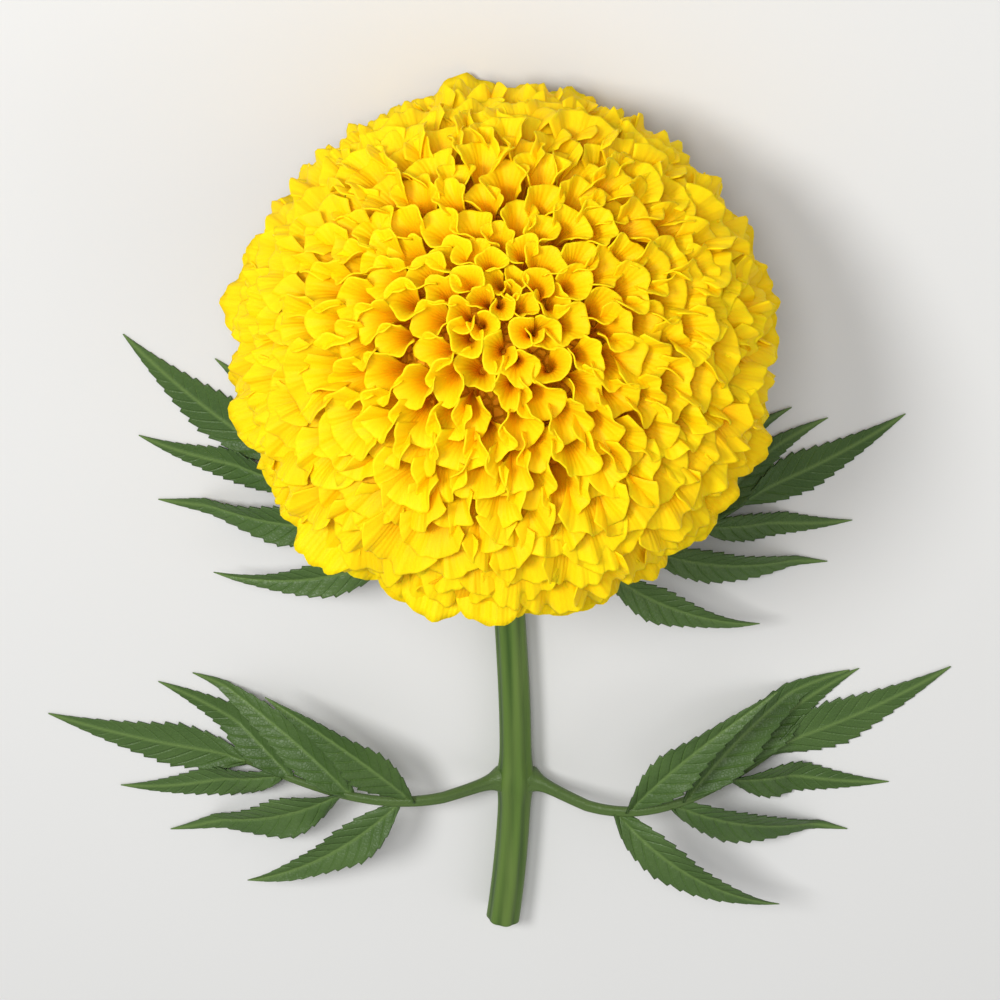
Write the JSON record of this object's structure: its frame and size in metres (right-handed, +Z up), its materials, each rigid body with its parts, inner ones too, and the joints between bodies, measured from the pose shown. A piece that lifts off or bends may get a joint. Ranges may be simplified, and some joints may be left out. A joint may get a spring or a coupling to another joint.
{
  "type": "african marigold flower",
  "caption": "Double yellow marigold head of crowded ruffled florets in a ribbed green calyx, on a short cut stem with toothed pinnate leaves, lying as picked.",
  "frame": {"origin": "middle of the flat spot where the head's lowest florets rest on the surface", "axes": "+Z up from the surface; -Y along the cut stem, so the head lies at the +Y end with its face turned up and towards +Y; +X across"},
  "size_m": [0.1668, 0.1829, 0.0756],
  "materials": {
    "petals": "soft, lemon to golden yellow, deeper orange between the florets",
    "calyx": "satin yellow-green, ribbed",
    "stem": "satin green, finely ridged",
    "leaf": "satin dark green, paler beneath"
  },
  "bodies": {
    "root": {"florets": "petals", "calyx": "calyx", "stem": "stem", "leaf_upper_left": "leaf", "leaf_upper_right": "leaf", "leaf_lower_left": "leaf", "leaf_lower_right": "leaf"}
  },
  "joints": []
}
